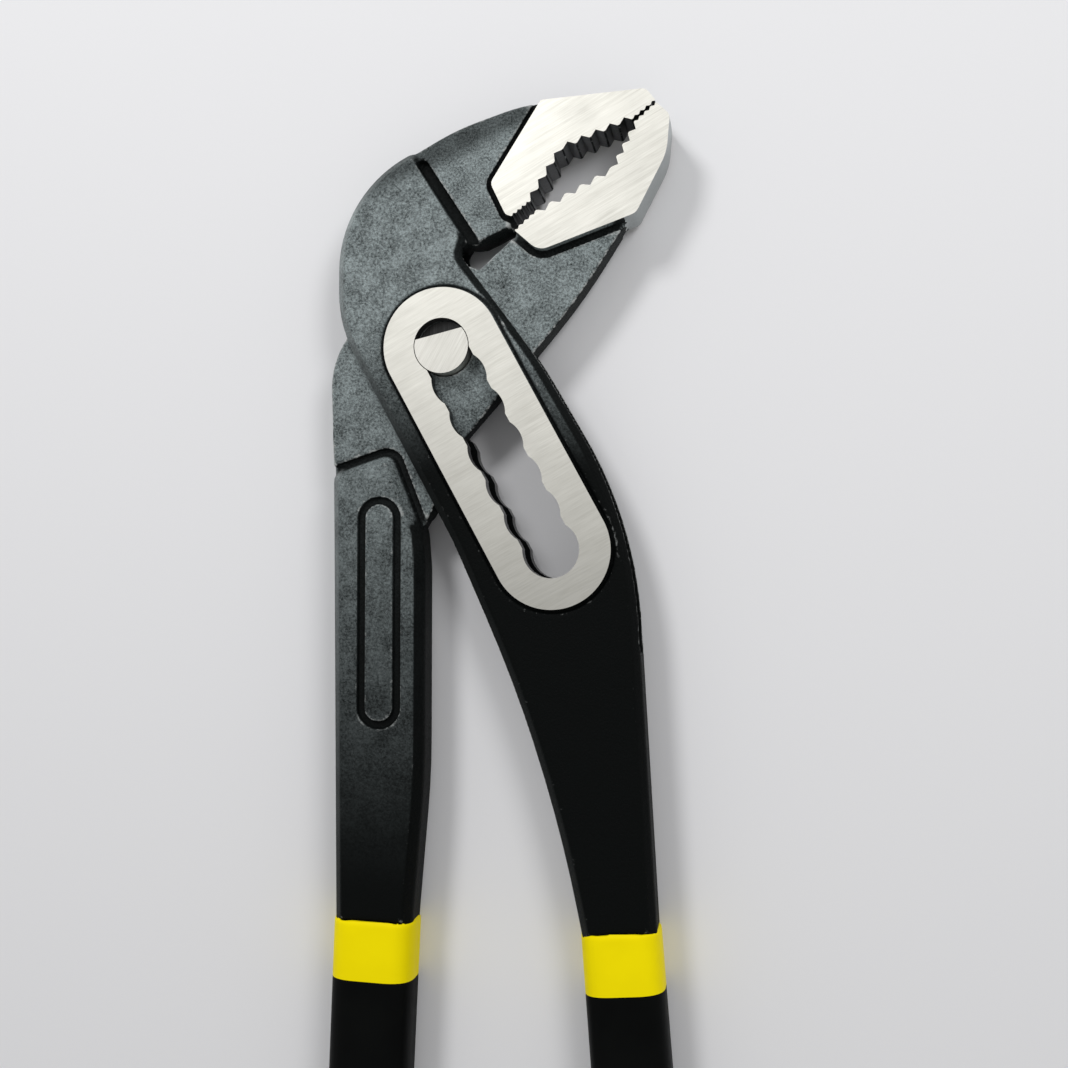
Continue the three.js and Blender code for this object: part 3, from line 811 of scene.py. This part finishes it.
def finishPiece(piece, body, slotName, *nodes, sharp=scale["sharp"]):
    piece.data.shade_smooth()
    piece.data.set_sharp_from_angle(angle=math.radians(sharp))
    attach(piece, body)
    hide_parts(*nodes)
    print(piece.name, len(piece.data.polygons))


def groundBothSides(name, corners, half):
    mid = levels["mid"]
    return [prism(name + "Front", corners, mid + half, mid + half + grinding["over"], groundSteel),
            prism(name + "Back", corners, mid - half - grinding["over"], mid - half, groundSteel)]


def forgedSkin(name, form, steel, floor, cheekFrom):
    piece = skinOf(name, form["field"], form["axes"], scale["pitch"], scale["keep"])
    piece.data.materials.append(steel)
    paintSides(piece.data, floor, cheekFrom)
    return piece


form = slottedForm()
slottedArm = forgedSkin("slottedArm", form, slottedSteel, levels["window"], slottedShape["cheekFrom"])
middle = slotPoint(slotLength / 2, 0)
slotCutter = grown("slot", seatSlot, {
    "Seats": slot["seats"], "Step": (slotAxis[0] * slot["pitch"] * mm, slotAxis[1] * slot["pitch"] * mm, 0),
    "Radius": seatRadius * mm, "Reach": slot["reach"] * mm,
    "Bar": (slotLength * mm, slot["neck"] * mm, slot["barReach"] * mm),
    "Middle": (middle[0] * mm, middle[1] * mm, 0), "Turn": math.atan2(slotAxis[1], slotAxis[0]),
    "Steel": slotShadeSteel})
cutAway(slottedArm, [*groundBothSides("bossGrinding", grinding["boss"], levels["boss"]),
                     *groundBothSides("upperGrinding", grinding["upper"], levels["pad"]),
                     slotCutter, *jawTeeth(upperFace)])
markWearAndPaintedLight(slottedArm.data, form)
finishPiece(slottedArm, "slotted_lever", "forged_steel", "slotted_arm")

form = throughForm()
throughArm = forgedSkin("throughArm", form, throughSteel, 0, throughShape["cheekFrom"])
cutAway(throughArm, [*groundBothSides("lowerGrinding", grinding["lower"], levels["pad"]),
                     *jawTeeth(lowerFace)])
markWearAndPaintedLight(throughArm.data, form)
finishPiece(throughArm, "through_lever", "forged_steel", "through_arm")

pin = dict(flatHeight=2.3, flatAngle=13.5, flatReach=12.0, over=2.0, sides=128, coreRadius=2.28,
           coreLength=9.0, coreGap=0.3, bore=2.3)


def circleOutline(radius):
    turns = [2 * math.pi * i / pin["sides"] for i in range(pin["sides"])]
    return [(radius * math.cos(turn), radius * math.sin(turn)) for turn in turns]


def pivotPin():
    top, over = 2 * levels["boss"], pin["over"]
    piece = prism("pivotPin", circleOutline(slot["pinDiameter"] / 2), 0, top, pinSteel)
    turn = math.radians(pin["flatAngle"])
    height, reach = pin["flatHeight"], pin["flatReach"]
    flat = [(x * math.cos(turn) - y * math.sin(turn), x * math.sin(turn) + y * math.cos(turn))
            for x, y in ((-reach, height), (reach, height), (reach, reach), (-reach, reach))]
    below, above = levels["mid"] - levels["web"], levels["mid"] + levels["web"]
    boreTop = pin["coreLength"] + pin["coreGap"]
    # The flats and bore take the slot finish, a near-black painted shade
    cutAway(piece, [prism("backFlat", flat, -over, below, slotShadeSteel),
                    prism("frontFlat", flat, above, top + over, slotShadeSteel),
                    prism("bore", circleOutline(pin["bore"]), -over, boreTop, slotShadeSteel)])
    return piece


pinPiece = pivotPin()
finishPiece(pinPiece, "through_lever", "ground_steel", "pivot_pin")
corePiece = prism("pinCore", circleOutline(pin["coreRadius"]), 0, pin["coreLength"], pinSteel)
finishPiece(corePiece, "pin_core", "ground_steel", "pivot_core")

coat = dict(pitch=0.45, keep=0.8, soft=5.0, cornerRadius=6.0, lip=1.0, seam=0.02, sharp=50.0,
            start=-12.0, beside=11.0, beyond=4.0, bottom=-1.0, top=13.0, block=(-20.0, 20.0, -10.0, 30.0))


# A hollow coat over the tang, parted into a yellow collar and a black grip
def gripPieces(side, grip, body):
    low, high = gripPoint(grip, dip["length"], 0), grip["top"]
    axes = fieldAxes(
        (min(low[0], high[0]) - coat["beside"], low[1] - coat["beyond"], coat["bottom"]),
        (max(low[0], high[0]) + coat["beside"], high[1] + coat["beyond"], coat["top"]), coat["pitch"])
    xs, ys, zs = axes
    outer = gripBand(grip, coat["start"], dip["length"], 0, coat["cornerRadius"])
    inner = gripBand(grip, coat["start"], dip["length"] - dip["endWall"] + dip["gap"], dip["wall"],
                     coat["cornerRadius"] - dip["wall"])
    skin = slabField(flatDistance(outer, xs, ys), zs, levels["boss"], coat["soft"])
    hollow = slabField(flatDistance(inner, xs, ys), zs, levels["boss"] - dip["wall"], roundings["hollow"],
                       dip["draft"], dip["draft"])
    skin = np.maximum(skin, -hollow)
    tilt = math.radians(grip["tilt"])
    px, py = np.meshgrid(xs, ys, indexing="ij")
    down = (px - high[0]) * math.sin(tilt) - (py - high[1]) * math.cos(tilt)
    skin = softMax(skin, dip["gap"] - down[:, :, None].astype(np.float32), coat["lip"])
    reach = 2 * dip["length"]
    left, right, bottom, top = coat["block"]
    for name, node, start, end, finish, slotName in (
            ("GripCollar", "_grip_collar", dip["collar"] - coat["seam"], reach, yellowVinyl, "yellow_vinyl"),
            ("Grip", "_grip", -reach, dip["collar"], blackVinyl, "black_vinyl")):
        piece = skinOf(side + name, skin, axes, coat["pitch"], coat["keep"])
        piece.data.materials.append(finish)
        block = [gripPoint(grip, along, across)
                 for along, across in ((start, left), (end, left), (end, right), (start, right))]
        cutAway(piece, [prism("seam", block, bottom, top, finish)])
        finishPiece(piece, body, slotName, side + node, sharp=coat["sharp"])


gripPieces("right", rightGrip, "slotted_lever")
gripPieces("left", leftGrip, "through_lever")

# Lights are (name, place, size, power)
studio = dict(floorSize=2.0, floorDrop=0.0002, floorColor=(0.8, 0.8, 0.815, 1), floorRoughness=0.9,
              background=0.84, fill=0.43, tint=(1, 1, 1, 1), aim=(0.01, -0.03, 0.0),
              lights=(("key", (-0.22, 0.34, 0.45), 0.16, 1.5), ("cheek", (0.26, 0.2, 0.42), 0.2, 0.8)))


def makeStudio():
    half = studio["floorSize"] / 2
    mesh = bpy.data.meshes.new("floor")
    height = -studio["floorDrop"]
    corners = [(-half, -half, height), (half, -half, height), (half, half, height), (-half, half, height)]
    mesh.from_pydata(corners, [], [(0, 1, 2, 3)])
    floor = newPiece("floor", mesh)
    paleFloor = startFinish("paleFloor", {
        "Roughness": studio["floorRoughness"], "Base Color": studio["floorColor"]})[0]
    mesh.materials.append(paleFloor)
    world = bpy.data.worlds.new("studioWorld")
    scene.world = world
    world.use_nodes = True
    tree = world.node_tree
    path = Wire(tree, tree.nodes.new("ShaderNodeLightPath").outputs["Is Camera Ray"])
    paths = path.socket.node.outputs
    seen = path + Wire(tree, paths["Is Glossy Ray"]) + Wire(tree, paths["Is Transmission Ray"])
    level = stepped(seen, 0.0, 1.0) * (studio["background"] - studio["fill"]) + studio["fill"]
    level.feed(tree.nodes["Background"].inputs["Strength"], level)
    tree.nodes["Background"].inputs["Color"].default_value = studio["tint"]
    for name, place, size, power in studio["lights"]:
        lamp = bpy.data.lights.new(name, "AREA")
        lamp.shape = "DISK"
        lamp.size = size
        lamp.energy = power
        light = bpy.data.objects.new(name, lamp)
        scene.collection.objects.link(light)
        light.location = place
        light.rotation_euler = (Vector(studio["aim"]) - Vector(place)).to_track_quat("-Z", "Y").to_euler()


makeStudio()
print("studio made")

# The camera's place, lens and sensor are in mm, its turn in degrees and its clipping in metres
shot = dict(place=(54.34, -44.11, 249.5), turn=(2.3683, 8.9325, 0.0), lens=45.64, sensor=36.0,
            clip=(0.01, 10.0))


def makeCamera():
    camera = bpy.data.objects.new("camera", bpy.data.cameras.new("camera"))
    scene.collection.objects.link(camera)
    camera.location = [v * mm for v in shot["place"]]
    camera.rotation_euler = [math.radians(v) for v in shot["turn"]]
    camera.data.lens = shot["lens"]
    camera.data.sensor_width = shot["sensor"]
    camera.data.clip_start, camera.data.clip_end = shot["clip"]
    scene.camera = camera


makeCamera()
scene.view_settings.view_transform = "Standard"
